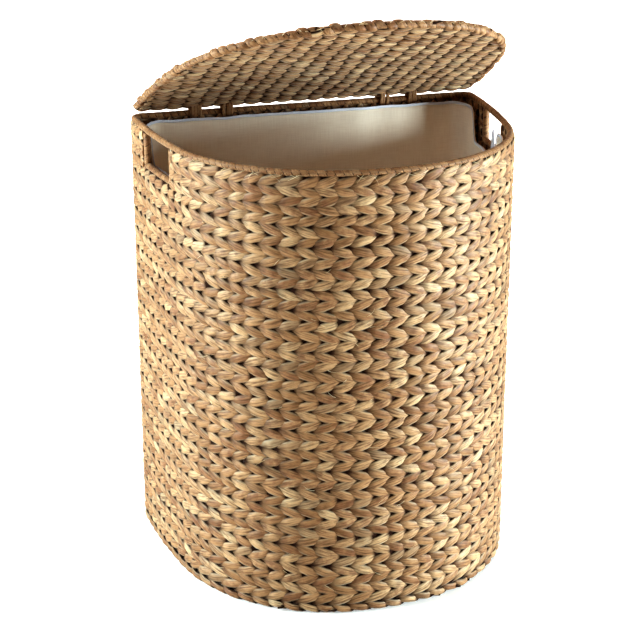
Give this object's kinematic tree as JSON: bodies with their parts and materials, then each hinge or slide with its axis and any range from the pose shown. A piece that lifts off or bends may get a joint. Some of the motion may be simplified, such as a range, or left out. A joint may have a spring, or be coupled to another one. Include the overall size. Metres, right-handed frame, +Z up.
{
  "type": "laundry basket",
  "caption": "Half-moon woven laundry basket with hand holes, a cloth liner bag and a hinged woven lid that stands partly open.",
  "frame": {"origin": "on the floor, in the middle of the plan (halfway across the width and halfway between the flat back and the front of the curve)", "axes": "+Z up; +Y towards the flat back where the lid is tied; the curved front faces -Y; +X to the right seen from the front"},
  "size_m": [0.5076, 0.3857, 0.7827],
  "materials": {
    "fibre_rope": "twined dried water-hyacinth rope, matt with a slight waxy sheen",
    "fibre_strip": "flat plant-fibre strip wound round wire",
    "frame_wire": "drawn steel wire, dull",
    "liner_cotton": "plain-woven beige cotton",
    "hem_cotton": "pale folded cotton tape"
  },
  "bodies": {
    "basket": {"rim_wire": "frame_wire", "base_wire": "frame_wire", "wall_stakes": "frame_wire", "base_stakes": "frame_wire", "hand_hole_wire_left": "frame_wire", "hand_hole_wire_right": "frame_wire", "lower_wall_weave": "fibre_rope", "upper_front_weave": "fibre_rope", "upper_back_weave": "fibre_rope", "base_weave": "fibre_rope", "rim_wrap": "fibre_strip", "base_border_wrap": "fibre_strip", "hand_hole_sill_wrap_left": "fibre_strip", "hand_hole_sill_wrap_right": "fibre_strip", "hand_hole_post_wraps_left": "fibre_strip", "hand_hole_post_wraps_right": "fibre_strip", "liner_bag": "liner_cotton", "liner_hem": "hem_cotton", "liner_tab_left": "hem_cotton", "liner_tab_right": "hem_cotton"},
    "lid": {"lid_frame_wire": "frame_wire", "lid_border_wrap": "fibre_strip", "lid_weave": "fibre_rope", "lid_ribs": "frame_wire", "lid_tie_1": "fibre_strip", "lid_tie_2": "fibre_strip", "lid_tie_3": "fibre_strip", "lid_tie_4": "fibre_strip"}
  },
  "joints": [
    {"name": "lid_hinge", "type": "hinge", "parent": "basket", "child": "lid", "pos_m": [0, 0.186, 0.6055], "axis": [-1, 0, 0], "range_deg": [-26, 84]}
  ]
}
